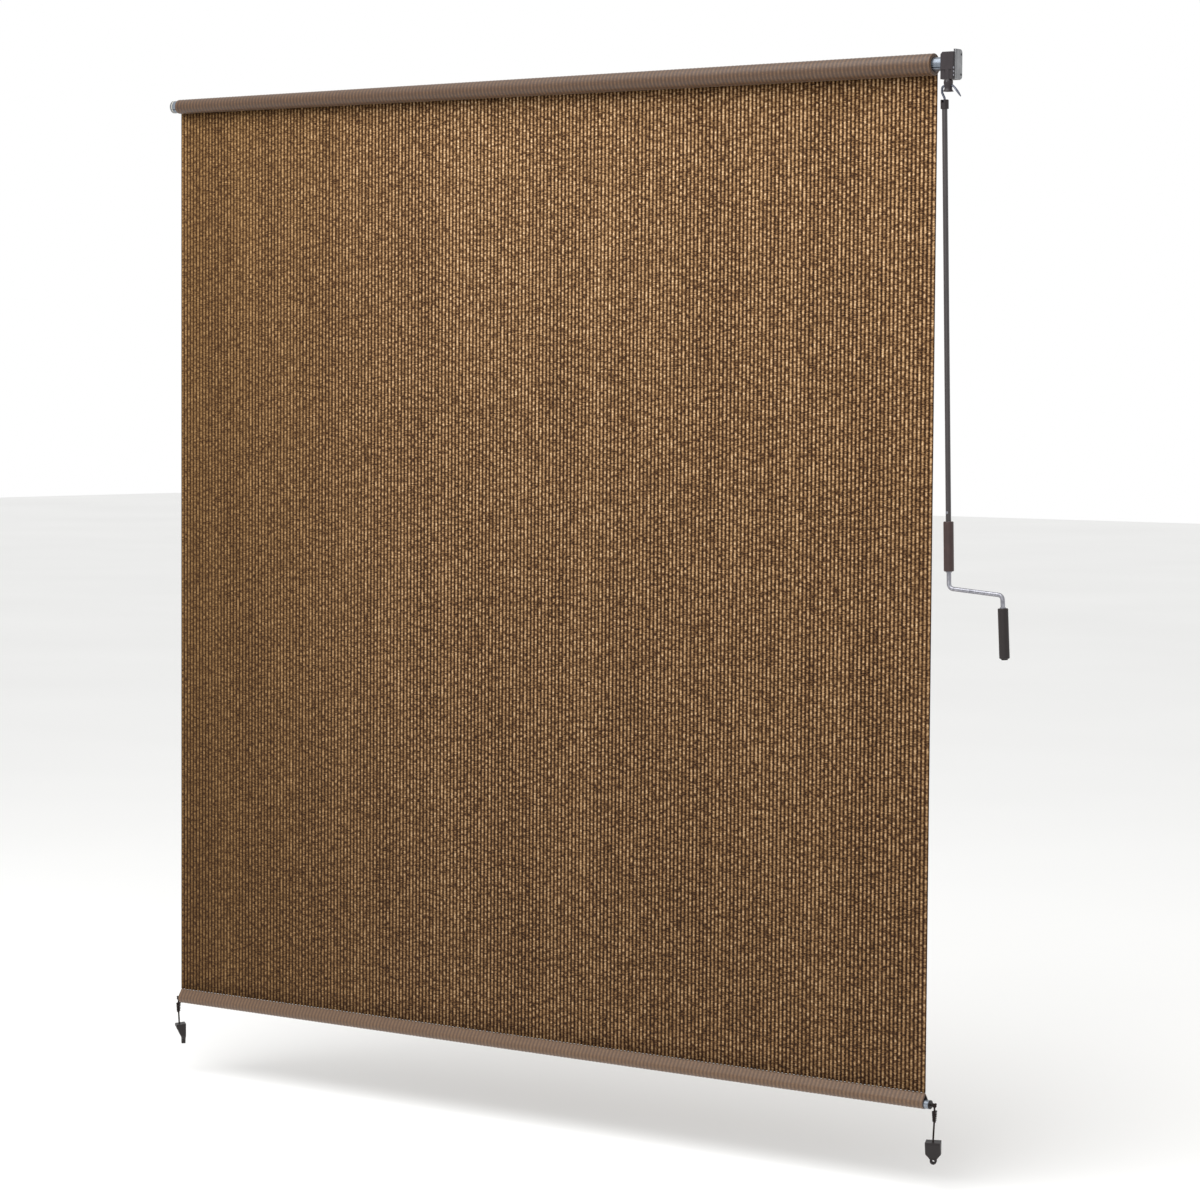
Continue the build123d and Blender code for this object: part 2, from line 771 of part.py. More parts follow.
def wand_place(distance):
    """Place on the wand's centreline, at a distance below its top, in the front plane's own X and Y."""
    return (wand_top_x + distance * math.sin(lean), wand_top_z - distance * math.cos(lean))


def wand_plane(distance):
    """Plane across the wand at a distance below its top, facing down it."""
    x, z = wand_place(distance)
    down = (math.sin(lean), 0, -math.cos(lean))
    return Plane(origin=(x, roll_y + worm_y, roll_z + z), x_dir=(0, 1, 0), z_dir=down)


# Cap: holds the hook and the tube's top, slotted front and back so that the wire shows
with BuildPart() as wand_cap:
    with BuildSketch(wand_plane(0)):
        Circle(cap_radius)
    extrude(amount=cap_length)
    chamfer(wand_cap.edges().filter_by(GeomType.CIRCLE), 1.0)
    with BuildSketch(wand_plane(cap_length - cap_socket)):
        Circle(wand_tube_radius + seat_gap)
    extrude(amount=cap_socket, mode=Mode.SUBTRACT)
    with BuildSketch(wand_plane(0)):
        Rectangle(2 * cap_radius + 1, 2 * hook_wire_radius + 2 * free_gap)
    extrude(amount=cap_length - cap_socket - cap_slot, mode=Mode.SUBTRACT)
    with BuildSketch(wand_plane(0)):
        Circle(hook_wire_radius + free_gap)
    extrude(amount=cap_length - cap_socket, mode=Mode.SUBTRACT)
save(wand_cap, "wand_cap")

tube_start = cap_length - cap_socket
rivet_plane = facing(worm_y)
rivet_plane.origin = wand_plane(wand_tube_end - rivet_above_sleeve).origin
with BuildPart() as wand_tube:
    with BuildSketch(wand_plane(tube_start + free_gap)):
        Circle(wand_tube_radius)
        Circle(wand_tube_radius - wand_tube_wall, mode=Mode.SUBTRACT)
    extrude(amount=wand_tube_end - tube_start - free_gap)
    with BuildSketch(rivet_plane):
        Circle(wand_rivet_radius + seat_gap)
    extrude(amount=2 * wand_tube_radius, both=True, mode=Mode.SUBTRACT)
save(wand_tube, "wand_tube")

# Crank rod: riveted into the tube, out along the arm and down through the grip
bend_x, bend_z = wand_place(crank_bend)
elbow_x = bend_x + arm_length * math.cos(math.radians(arm_slope))
elbow_z = bend_z - arm_length * math.sin(math.radians(arm_slope))
leg_sin = math.sin(math.radians(grip_lean))
leg_cos = math.cos(math.radians(grip_lean))
leg_length = grip_from_arm + grip_length + free_gap


def leg_plane(distance):
    """Plane across the crank's lower leg at a distance below the arm, facing down the leg."""
    origin = (elbow_x + distance * leg_sin, roll_y + worm_y, roll_z + elbow_z - distance * leg_cos)
    return Plane(origin=origin, x_dir=(0, 1, 0), z_dir=(leg_sin, 0, -leg_cos))


sleeve_end = sleeve_start + grip_length
with BuildPart() as crank_rod:
    with BuildLine(facing(worm_y)):
        FilletPolyline(
            wand_place(wand_tube_end - rod_spigot),
            (bend_x, bend_z),
            (elbow_x, elbow_z),
            (elbow_x + leg_length * leg_sin, elbow_z - leg_length * leg_cos),
            radius=crank_bend_radius,
        )
    with BuildSketch(wand_plane(wand_tube_end - rod_spigot)):
        Circle(rod_radius)
    sweep()
    with BuildSketch(wand_plane(sleeve_end + free_gap), leg_plane(grip_from_arm - free_gap - swage_height)):
        Circle(swage_radius)
    extrude(amount=swage_height)
    with BuildSketch(rivet_plane):
        Circle(wand_rivet_radius + seat_gap)
    extrude(amount=2 * wand_tube_radius, both=True, mode=Mode.SUBTRACT)
save(crank_rod, "crank_rod")

with BuildPart() as rod_rivet:
    with BuildSketch(rivet_plane):
        Circle(wand_rivet_radius)
    extrude(amount=wand_tube_radius + wand_rivet_head, both=True)
    with BuildSketch(rivet_plane.offset(wand_tube_radius), rivet_plane.offset(-wand_tube_radius - wand_rivet_head)):
        Circle(2 * wand_rivet_radius)
    extrude(amount=wand_rivet_head)
save(rod_rivet, "rod_rivet")

# Upper sleeve and lower grip: both turn on the rod
with BuildPart() as wand_sleeve:
    with BuildSketch(wand_plane(sleeve_start)):
        Circle(sleeve_radius)
    extrude(amount=grip_length)
    fillet(wand_sleeve.edges().filter_by(GeomType.CIRCLE), grip_end_round)
    with BuildSketch(wand_plane(sleeve_start)):
        Circle(rod_radius + running_gap)
    extrude(amount=grip_length, mode=Mode.SUBTRACT)
save(wand_sleeve, "wand_sleeve")

with BuildPart() as crank_grip:
    with BuildSketch(leg_plane(grip_from_arm)):
        Circle(grip_radius)
    extrude(amount=grip_length)
    fillet(crank_grip.edges().filter_by(GeomType.CIRCLE), grip_end_round)
    with BuildSketch(leg_plane(grip_from_arm)):
        Circle(rod_radius + running_gap)
    extrude(amount=grip_length, mode=Mode.SUBTRACT)
save(crank_grip, "crank_grip")

with BuildPart() as grip_button:
    with BuildSketch(leg_plane(leg_length)):
        Circle(grip_button_radius)
    extrude(amount=grip_button_height)
    fillet(grip_button.edges().filter_by(GeomType.CIRCLE).sort_by(Axis.Z)[0], grip_button_height - 0.5)
save(grip_button, "grip_button")

# Hem: a drop-shaped pocket in the folded cloth, hanging from the panel
with BuildPart() as hem_pocket:
    with BuildSketch(hem_section(0)):
        with BuildLine():
            CenterArc((0, 0), hem_radius, 0, 360)
            CenterArc((0, hem_apex - hem_wall / 2), hem_wall / 2, 0, 360)
        make_hull()
        with BuildSketch(mode=Mode.SUBTRACT):
            with BuildLine():
                CenterArc((0, 0), hem_radius - hem_wall, 0, 360)
                CenterArc((0, hem_apex - 4 * hem_wall), hem_wall / 4, 0, 360)
            make_hull()
    extrude(amount=panel_length)
save(hem_pocket, "hem_pocket")

tube_from = end_cap_flange - bottom_past_idle
tube_to = panel_length + bottom_past_gear - end_cap_flange
with BuildPart() as bottom_tube:
    with BuildSketch(hem_section(tube_from, bottom_tube_z)):
        Circle(bottom_tube_radius)
        Circle(bottom_tube_radius - bottom_tube_wall, mode=Mode.SUBTRACT)
    extrude(amount=tube_to - tube_from)
save(bottom_tube, "bottom_tube")

# End caps of the bottom tube, bored for the ties
for side, face, into in (("idle", tube_from, 1), ("gear", tube_to, -1)):
    with BuildPart() as end_cap:
        with BuildSketch(hem_section(face, bottom_tube_z)):
            Circle(bottom_tube_radius)
        extrude(amount=-into * end_cap_flange)
        fillet(end_cap.edges().filter_by(GeomType.CIRCLE).sort_by(Axis.X)[0 if into > 0 else -1], 0.8)
        with BuildSketch(hem_section(face, bottom_tube_z)):
            Circle(bottom_tube_radius - bottom_tube_wall - seat_gap)
        extrude(amount=into * end_cap_plug)
        with BuildSketch(hem_section(face, bottom_tube_z)):
            Circle(cord_radius + free_gap)
        extrude(amount=end_cap_plug + end_cap_flange, both=True, mode=Mode.SUBTRACT)
    save(end_cap, f"bottom_end_cap_{side}")

# Ties: a cord out of each cap, down through its knot to an anchor
ties = (
    ("idle", -bottom_past_idle, -1, tie_reach_idle, tie_fall_idle, anchor_turn_idle),
    ("gear", panel_length + bottom_past_gear, 1, tie_reach_gear, tie_fall_gear, anchor_turn_gear),
)
for side, cap_face, outward, reach, fall, anchor_turn in ties:
    exit_place = hem_section(cap_face, bottom_tube_z).origin
    tie_plane = Plane(origin=exit_place, x_dir=(outward, 0, 0), z_dir=(0, -outward, 0))
    route = [(-cord_start_inside, 0), (reach, 0)]
    route += [(reach + aside, -down) for aside, down in fall]
    runs = [math.dist(a, b) for a, b in zip(route, route[1:])]
    radii = []
    for i in range(1, len(route) - 1):
        before = Vector(*route[i]) - Vector(*route[i - 1])
        after = Vector(*route[i + 1]) - Vector(*route[i])
        half_turn = math.radians(before.get_angle(after)) / 2
        radii.append(0.45 * min(runs[i - 1], runs[i]) / math.tan(half_turn))
    print(side, "tie: radii", [round(radius, 1) for radius in radii], "length", round(sum(runs), 1))
    start_plane = Plane(
        origin=tie_plane.from_local_coords((-cord_start_inside, 0, 0)),
        x_dir=(0, 0, 1),
        z_dir=(outward, 0, 0),
    )
    with BuildPart() as tie_cord:
        with BuildLine(tie_plane):
            FilletPolyline(*route, radius=radii)
        with BuildSketch(start_plane):
            Circle(cord_radius)
        sweep()
    save(tie_cord, f"tie_cord_{side}")

    knot_plane = Plane(
        origin=tie_plane.from_local_coords((reach, 0, 0)), x_dir=(1, 0, 0), z_dir=(0, -1, 0)
    )
    with BuildPart() as tie_knot:
        with BuildSketch(knot_plane):
            with BuildLine():
                Spline(
                    (knot_bulb_radius / 4, knot_bulb_radius),
                    (knot_bulb_radius, 0),
                    (knot_waist_radius, -0.3 * knot_length),
                    (knot_cone_radius, -0.5 * knot_length),
                    (knot_tip_radius, -knot_length),
                    tangents=((1, -0.2), (-0.1, -1)),
                )
                Polyline(
                    (knot_tip_radius, -knot_length),
                    (0, -knot_length),
                    (0, knot_bulb_radius),
                    (knot_bulb_radius / 4, knot_bulb_radius),
                )
            make_face()
        revolve(axis=Axis(knot_plane.origin, (0, 0, 1)))
    save(tie_knot, f"tie_knot_{side}")

    # Anchor: a moulded wedge, deep at the top, with a lobe and a screw hole at the foot
    end_across, end_down = route[-1]
    foot = tie_plane.from_local_coords((end_across, end_down + anchor_cord_depth, 0))
    anchor_side = Vector(1, 0, 0).rotate(Axis.Z, anchor_turn)
    anchor_front = Vector(0, -1, 0).rotate(Axis.Z, anchor_turn)
    corner = foot - anchor_front * (1 - anchor_cord_share) * anchor_depth
    back = Plane(origin=corner, x_dir=anchor_side, z_dir=anchor_front)
    profile_plane = Plane(origin=corner, x_dir=-anchor_front, z_dir=anchor_side)
    half_width = anchor_width / 2
    lobe_z = anchor_lobe_radius - anchor_height
    with BuildPart() as anchor:
        with BuildSketch(back):
            with BuildLine():
                Polyline(
                    (-half_width, 0),
                    (half_width, 0),
                    (half_width, -anchor_shoulder),
                    (anchor_lobe_radius, lobe_z + anchor_lobe_radius / 2),
                    (anchor_lobe_radius, lobe_z),
                    (-anchor_lobe_radius, lobe_z),
                    (-anchor_lobe_radius, lobe_z + anchor_lobe_radius / 2),
                    (-half_width, -anchor_shoulder),
                    close=True,
                )
            make_face()
            with Locations((0, lobe_z)):
                Circle(anchor_lobe_radius)
        extrude(amount=anchor_depth)
        with BuildSketch(profile_plane.offset(-anchor_width)):
            with BuildLine():
                Polyline(
                    (0, 0),
                    (-anchor_depth, -2 * anchor_round),
                    (-anchor_depth, -anchor_front_lip),
                    (-anchor_lobe_depth, lobe_z + anchor_lobe_radius),
                    (-anchor_lobe_depth, -anchor_height),
                    (0, -anchor_height),
                    close=True,
                )
            make_face()
        extrude(amount=2 * anchor_width, mode=Mode.INTERSECT)
        with BuildSketch(Plane(origin=foot, z_dir=(0, 0, 1))):
            Circle(cord_radius + 2 * free_gap)
        extrude(amount=-anchor_cord_depth - free_gap, mode=Mode.SUBTRACT)
        with Locations(back.offset(anchor_lobe_depth)):
            with Locations((0, lobe_z)):
                CounterSinkHole(anchor_hole_radius, anchor_sink_radius)
    save(anchor, f"anchor_{side}")
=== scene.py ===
import math

import bpy
import numpy as np
from mathutils import Matrix, Vector


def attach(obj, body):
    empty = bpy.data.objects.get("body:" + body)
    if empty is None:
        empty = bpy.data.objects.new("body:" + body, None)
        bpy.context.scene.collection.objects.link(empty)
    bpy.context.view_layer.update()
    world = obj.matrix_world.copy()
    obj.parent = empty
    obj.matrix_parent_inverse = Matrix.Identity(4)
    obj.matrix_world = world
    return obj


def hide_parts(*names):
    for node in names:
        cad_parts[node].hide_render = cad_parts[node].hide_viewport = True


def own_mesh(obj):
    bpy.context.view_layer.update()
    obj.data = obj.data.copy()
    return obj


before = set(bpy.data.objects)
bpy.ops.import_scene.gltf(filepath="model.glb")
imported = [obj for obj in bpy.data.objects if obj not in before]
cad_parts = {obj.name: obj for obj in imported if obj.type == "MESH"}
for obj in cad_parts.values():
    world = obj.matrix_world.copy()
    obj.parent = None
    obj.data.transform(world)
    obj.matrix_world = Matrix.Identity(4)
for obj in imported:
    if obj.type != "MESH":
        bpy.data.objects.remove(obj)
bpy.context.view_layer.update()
scene = bpy.context.scene
print("stage: frame loaded,", len(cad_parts), "nodes")

# the camera that the photograph's corners give: metres, radians, and mm for lens and sensor
cameraLook = {"place": (4.26493, -7.15006, -0.74922), "yaw": 0.6361695, "pitch": -0.0581116,
              "roll": 0.0066590, "lens": 108.0, "sensor": 36.0, "farthest": 200.0}


def addCamera(look):
    yaw, pitch, roll = look["yaw"], look["pitch"], look["roll"]
    right = Vector((math.cos(yaw), math.sin(yaw), 0.0))
    ahead = Vector((-math.sin(yaw) * math.cos(pitch), math.cos(yaw) * math.cos(pitch),
                    math.sin(pitch)))
    up = right.cross(ahead)
    across = math.cos(roll) * right + math.sin(roll) * up
    upright = math.cos(roll) * up - math.sin(roll) * right
    turned = Matrix((across, upright, -ahead)).transposed().to_4x4()
    data = bpy.data.cameras.new("camera")
    data.lens = look["lens"]
    data.sensor_width = look["sensor"]
    data.clip_end = look["farthest"]
    camera = bpy.data.objects.new("camera", data)
    camera.matrix_world = Matrix.Translation(look["place"]) @ turned
    scene.collection.objects.link(camera)
    scene.camera = camera


addCamera(cameraLook)


class Wire:
    # a value inside a material, usable in sums
    def __init__(self, finish, socket):
        self.finish, self.socket = finish, socket

    def math(self, operation, *others):
        inputs = dict(enumerate((self,) + others))
        return self.finish.add("ShaderNodeMath", {"operation": operation}, inputs)

    def __rsub__(self, other):
        return self.finish.add("ShaderNodeMath", {"operation": "SUBTRACT"}, {0: other, 1: self})

    def __add__(self, other): return self.math("ADD", other)
    def __radd__(self, other): return self.math("ADD", other)
    def __sub__(self, other): return self.math("SUBTRACT", other)
    def __mul__(self, other): return self.math("MULTIPLY", other)
    def __rmul__(self, other): return self.math("MULTIPLY", other)
    def __truediv__(self, other): return self.math("DIVIDE", other)
    def floor(self): return self.math("FLOOR")
    def cos(self): return self.math("COSINE")
    def within(self, low, high): return self.math("MAXIMUM", low).math("MINIMUM", high)


class Finish:
    # one material: its shader and the nodes that feed it
    def __init__(self, name, **fixed):
        self.material = bpy.data.materials.new(name)
        self.material.use_nodes = True
        self.tree = self.material.node_tree
        self.shader = self.tree.nodes["Principled BSDF"]
        for socketName, value in fixed.items():
            self.shader.inputs[socketName.replace("_", " ")].default_value = value

    def add(self, kind, settings=None, inputs=None, out=0):
        node = self.tree.nodes.new(kind)
        for key, value in (settings or {}).items():
            if key == "stops":
                self.setStops(node.color_ramp, value)
            else:
                setattr(node, key, value)
        for key, value in (inputs or {}).items():
            if isinstance(value, Wire):
                self.tree.links.new(value.socket, node.inputs[key])
            else:
                node.inputs[key].default_value = value
        return Wire(self, node.outputs[out])

    def setStops(self, ramp, stops):
        while len(ramp.elements) < len(stops):
            ramp.elements.new(0.5)
        for element, (place, colour) in zip(ramp.elements, stops):
            element.position = place
            element.color = (*colour, 1.0)

    def feed(self, socketName, wire):
        self.tree.links.new(wire.socket, self.shader.inputs[socketName])

    def ramp(self, value, *stops):
        return self.add("ShaderNodeValToRGB", {"stops": stops}, {"Fac": value}, "Color")

    def mix(self, share, first, second, blend="MIX"):
        return self.add("ShaderNodeMix", {"data_type": "RGBA", "blend_type": blend},
                        {0: share, 6: first, 7: second}, 2)

    def noise(self, place, scale, detail=2.0, roughness=0.5):
        return self.add("ShaderNodeTexNoise", {}, {"Vector": place, "Scale": scale,
                                                   "Detail": detail, "Roughness": roughness}, "Fac")

    def point(self, x=0.0, y=0.0, z=0.0):
        return self.add("ShaderNodeCombineXYZ", {}, {0: x, 1: y, 2: z})

    def parts(self, place):
        return [self.add("ShaderNodeSeparateXYZ", {}, {0: place}, axis) for axis in range(3)]

    def own(self):
        return self.add("ShaderNodeTexCoord", {}, {}, "Object")

    def stretched(self, place, scale):
        return self.add("ShaderNodeMapping", {}, {"Vector": place, "Scale": scale})

    def bump(self, height, distance):
        self.feed("Normal", self.add("ShaderNodeBump", {}, {"Strength": 1.0, "Distance": distance,
                                                           "Height": height}, "Normal"))


def hexColour(code):
    # a colour as painters write it, turned to the linear values that shaders use
    parts = [int(code[k:k + 2], 16) / 255.0 for k in (0, 2, 4)]
    return tuple(c / 12.92 if c <= 0.04045 else ((c + 0.055) / 1.055) ** 2.4 for c in parts)


def addSurface(name, points, faceGroups, smooth=True, uv=None):
    # one mesh from an array of points and a list of arrays of faces
    mesh = bpy.data.meshes.new(name)
    faces = [face for group in faceGroups for face in group.tolist()]
    mesh.from_pydata(points.reshape(-1, 3).tolist(), [], faces)
    if uv is not None:
        layer = mesh.uv_layers.new(name="cloth")
        corners = np.zeros(len(mesh.loops), dtype=np.int32)
        mesh.loops.foreach_get("vertex_index", corners)
        layer.data.foreach_set("uv", uv.reshape(-1, 2)[corners].astype(np.float32).ravel())
    mesh.polygons.foreach_set("use_smooth", np.full(len(mesh.polygons), smooth))
    mesh.validate()
    mesh.update()
    piece = bpy.data.objects.new(name, mesh)
    scene.collection.objects.link(piece)
    return piece


def gridQuads(rows, columns, closedRows=False, closedColumns=False, first=0, flip=False):
    # the faces of a grid: each joins a point with its neighbours one row and one column on
    rowCount = rows if closedRows else rows - 1
    columnCount = columns if closedColumns else columns - 1
    row, column = np.meshgrid(np.arange(rowCount), np.arange(columnCount), indexing="ij")
    nextRow, nextColumn = (row + 1) % rows, (column + 1) % columns
    quads = np.stack([row * columns + column, nextRow * columns + column,
                      nextRow * columns + nextColumn, row * columns + nextColumn], axis=-1)
    quads = quads.reshape(-1, 4) + first
    return quads[:, ::-1] if flip else quads


# the hanging cloth, in metres: its plane starts at y = frontLeft and moves by skew for each
# metre of width
cloth = {"ribs": 212, "left": -2.430, "right": -0.070, "top": 0.0023, "bottom": -2.3834,
         "frontLeft": 0.005766, "skew": 0.0028438, "ridge": 0.0007, "thick": 0.0009,
         "backShare": 0.5, "steps": 4, "rows": 50}
cloth["width"] = cloth["right"] - cloth["left"]
cloth["pitch"] = cloth["width"] / cloth["ribs"]
clothColumns = cloth["ribs"] * cloth["steps"] + 1


def ribHeight(x):
    # a rib's rise over the valley beside it: a raised cosine with its top mid-pitch
    return 0.5 - 0.5 * np.cos(2.0 * np.pi * (x - cloth["left"]) / cloth["pitch"])


def panelSurface():
    # the front is a slightly skewed plane less the ribs' height; the back lies one thickness
    # behind the plane, less its own share of that height
    columns = clothColumns
    x = np.linspace(cloth["left"], cloth["right"], columns)
    z = np.linspace(cloth["top"], cloth["bottom"], cloth["rows"])
    gridZ, gridX = np.meshgrid(z, x, indexing="ij")
    flat = cloth["frontLeft"] + cloth["skew"] * (gridX - cloth["left"])
    front = flat - cloth["ridge"] * ribHeight(gridX)
    back = flat + cloth["thick"] - cloth["backShare"] * cloth["ridge"] * ribHeight(gridX)
    points = np.stack([np.stack([gridX, side, gridZ], axis=-1) for side in (front, back)])
    uv = np.stack([gridX - cloth["left"], gridZ - cloth["bottom"]], axis=-1)
    count = cloth["rows"] * columns
    faces = [gridQuads(cloth["rows"], columns),
             gridQuads(cloth["rows"], columns, first=count, flip=True)]
    edges = [np.arange(columns), (np.arange(columns) + count - columns)[::-1],
             (np.arange(cloth["rows"]) * columns)[::-1],
             np.arange(cloth["rows"]) * columns + columns - 1]
    for edge in edges:
        faces.append(np.stack([edge[:-1], edge[1:], edge[1:] + count, edge[:-1] + count], axis=-1))
    return addSurface("cloth_panel", points, faces, uv=np.stack([uv, uv]))


# the cloth on the tube: a cone whose ends are grooved between the turns, and whose outside
# stops short of each end by rim
roll = {"y": -0.014, "z": 0.0023, "left": -2.418, "right": -0.062, "radiusLeft": 0.0188,
        "radiusRight": 0.0255, "inner": 0.01605, "ridge": 0.0006, "rim": 0.0016, "turns": 3,
        "turnSteps": 8, "groove": 0.0012, "grooveSharpness": 3, "around": 56}


def rollSurface():
    # a profile of (distance along the roll, radius) turned round the roll's axis; at the ends
    # its depth is the groove's times the third power of a cosine with one lobe a turn
    span = (roll["right"] - roll["left"]) / cloth["pitch"]
    x = np.linspace(roll["left"] + roll["rim"], roll["right"] - roll["rim"],
                    int(span * cloth["steps"]) + 1)
    share = (x - roll["left"]) / (roll["right"] - roll["left"])
    radius = roll["radiusLeft"] + (roll["radiusRight"] - roll["radiusLeft"]) * share
    outside = radius - roll["ridge"] * (1.0 - ribHeight(x))
    lobe = np.linspace(0.0, 1.0, roll["turns"] * roll["turnSteps"] + 1)
    depth = roll["groove"] * np.abs(np.cos(np.pi * roll["turns"] * lobe)) ** roll["grooveSharpness"]
    ends = []
    for side, end, rim in ((-1.0, roll["left"], outside[0]), (1.0, roll["right"], outside[-1])):
        ends.append(np.stack([end - side * depth,
                              roll["inner"] + (rim - roll["inner"]) * lobe], axis=-1))
    profile = np.concatenate([ends[0], np.stack([x, outside], axis=-1), ends[1][::-1]])
    angle = np.linspace(0.0, 2.0 * np.pi, roll["around"], endpoint=False)
    alongX, turn = np.meshgrid(profile[:, 0], angle, indexing="ij")
    reach = np.repeat(profile[:, 1][:, None], roll["around"], axis=1)
    points = np.stack([alongX, roll["y"] + reach * np.sin(turn), roll["z"] + reach * np.cos(turn)],
                      axis=-1)
    uv = np.stack([alongX - cloth["left"], turn * roll["radiusRight"]], axis=-1)
    faces = gridQuads(len(profile), roll["around"], closedRows=True, closedColumns=True, flip=True)
    return addSurface("cloth_roll", points, [faces], uv=uv)


# the loop of cloth round the bottom tube; apex is the drop's tip above its circle's centre
hem = {"centre": -2.4082, "radius": 0.0140, "apex": 0.0245, "wall": 0.0016, "ridge": 0.0007,
       "tipWalls": 2.6, "sideSteps": 6, "arcPoints": 32}


def hemSection(radius, apex):
    # a drop: a circle's lower arc and the two straight sides that touch it from a tip above
    lean = math.acos(radius / apex)
    arc = np.linspace(lean, 2.0 * np.pi - lean, hem["arcPoints"])
    circle = np.stack([radius * np.sin(arc), radius * np.cos(arc)], axis=-1)
    share = np.linspace(0.0, 1.0, hem["sideSteps"] + 1)[:-1, None]
    tip = np.array([[0.0, apex]])
    down = tip + (circle[:1] - tip) * share
    back = circle[-1:] + (tip - circle[-1:]) * (share + 1.0 / hem["sideSteps"])
    return np.concatenate([down, circle, back])[:-1]


def hemSurface():
    # the drop carried along the shade's width, its outside ribbed and its inside plain
    columns = clothColumns
    x = np.linspace(cloth["left"], cloth["right"], columns)
    radius, apex = hem["radius"] - hem["ridge"], hem["apex"] - hem["ridge"]
    outer = hemSection(radius, apex)
    inner = hemSection(radius - hem["wall"], apex - hem["tipWalls"] * hem["wall"])
    middle = cloth["frontLeft"] + cloth["skew"] * (x - cloth["left"]) + 0.5 * cloth["thick"]
    grow = 1.0 + hem["ridge"] * ribHeight(x) / hem["radius"]
    count = len(outer)
    shell = np.stack([np.repeat(x[:, None], count, axis=1),
                      middle[:, None] + outer[None, :, 0] * grow[:, None],
                      hem["centre"] + outer[None, :, 1] * grow[:, None]], axis=-1)
    bore = np.stack([np.repeat(x[[0, -1]][:, None], count, axis=1),
                     middle[[0, -1]][:, None] + inner[None, :, 0],
                     hem["centre"] + np.repeat(inner[None, :, 1], 2, axis=0)], axis=-1)
    total = columns * count
    ring = np.arange(count)
    follow = (ring + 1) % count
    lastRow = total - count
    faces = [gridQuads(columns, count, closedColumns=True, flip=True),
             gridQuads(2, count, closedColumns=True, first=total),
             np.stack([ring, follow, follow + total, ring + total], axis=-1),
             np.stack([ring + lastRow, ring + total + count, follow + total + count,
                       follow + lastRow], axis=-1)]
    walked = np.concatenate([[0.0], np.cumsum(np.linalg.norm(np.diff(outer, axis=0), axis=1))])
    uv = np.stack([np.repeat((x - cloth["left"])[:, None], count, axis=1),
                   np.repeat(walked[None, :], columns, axis=0)], axis=-1)
    points = np.concatenate([shell.reshape(-1, 3), bore.reshape(-1, 3)])
    uv = np.concatenate([uv.reshape(-1, 2), uv[[0, -1]].reshape(-1, 2)])
    return addSurface("hem_loop", points, faces, uv=uv)


def sweptTube(name, line, outward, radius, sides=10):
    # circles of one radius carried along a line, each square to it, closed at both ends
    ahead = np.gradient(line, axis=0)
    ahead /= np.linalg.norm(ahead, axis=1)[:, None]
    side = np.cross(ahead, outward)
    side /= np.linalg.norm(side, axis=1)[:, None]
    up = np.cross(side, ahead)
    angle = np.linspace(0.0, 2.0 * np.pi, sides, endpoint=False)
    ring = (np.cos(angle)[None, :, None] * side[:, None, :]
            + np.sin(angle)[None, :, None] * up[:, None, :])
    points = (line[:, None, :] + radius * ring).reshape(-1, 3)
    count = len(points)
    now = np.arange(sides)
    follow = (now + 1) % sides
    lastRing = count - sides
    faces = [gridQuads(len(line), sides, closedColumns=True, flip=True),
             np.stack([np.full(sides, count), follow, now], axis=-1),
             np.stack([np.full(sides, count + 1), now + lastRing, follow + lastRing], axis=-1)]
    return addSurface(name, np.concatenate([points, line[[0, -1]]]), faces)


# the cords' points in metres, (x, z) at one depth y; knot is the x of the corner they turn at
ties = {
    "gear": {"y": 0.01297, "exit": (-0.0550, 0.01297, -2.40995), "length": 0.105, "knot": -0.0450,
             "route": ((-0.0600, -2.40995), (-0.0450, -2.40995), (-0.0449, -2.42595),
                       (-0.0450, -2.44395), (-0.0468, -2.47395), (-0.0481, -2.50295))},
    "idle": {"y": 0.006203, "exit": (-2.4345, 0.006203, -2.40995), "length": 0.086,
             "knot": -2.4410,
             "route": ((-2.4295, -2.40995), (-2.4410, -2.40995), (-2.4409, -2.42595),
                       (-2.4410, -2.44395), (-2.4392, -2.46595), (-2.4380, -2.48695))},
}
cordLook = {"diameter": 0.0044, "bevelSteps": 4, "curveSteps": 12, "order": 3}
knotLook = {"radius": 0.0042, "depth": 1.6, "strand": 0.0022, "points": 97}
whipLook = {"wraps": 6, "start": -0.0135, "fall": 0.0250, "radiusTop": 0.0047,
            "radiusFoot": 0.0030, "strand": 0.0019, "points": 141}


def addCord(side, tie):
    curve = bpy.data.curves.new("cord_" + side, "CURVE")
    curve.dimensions = "3D"
    curve.bevel_depth = cordLook["diameter"] / 2.0
    curve.bevel_resolution = cordLook["bevelSteps"]
    curve.use_fill_caps = True
    spline = curve.splines.new("NURBS")
    spline.points.add(len(tie["route"]) - 1)
    for point, (x, z) in zip(spline.points, tie["route"]):
        point.co = (x, tie["y"], z, 1.0)
    spline.order_u = cordLook["order"]
    spline.use_endpoint_u = True
    spline.resolution_u = cordLook["curveSteps"]
    piece = bpy.data.objects.new("cord_" + side, curve)
    scene.collection.objects.link(piece)
    return piece


def addKnot(side, tie):
    # a trefoil of cord at the corner: x = sin t + 2 sin 2t, z = cos t - 2 cos 2t and
    # y = -depth sin 3t, all times a third of the knot's radius
    t = np.linspace(0.0, 2.0 * np.pi, knotLook["points"])
    middle = np.array([tie["knot"], tie["y"], tie["exit"][2]])
    trefoil = np.stack([np.sin(t) + 2.0 * np.sin(2.0 * t), -knotLook["depth"] * np.sin(3.0 * t),
                        np.cos(t) - 2.0 * np.cos(2.0 * t)], axis=-1)
    line = middle + knotLook["radius"] / 3.0 * trefoil
    outward = np.stack([np.zeros_like(t), np.ones_like(t), np.zeros_like(t)], axis=-1)
    return sweptTube("knot_bulb_" + side, line, outward, knotLook["strand"])


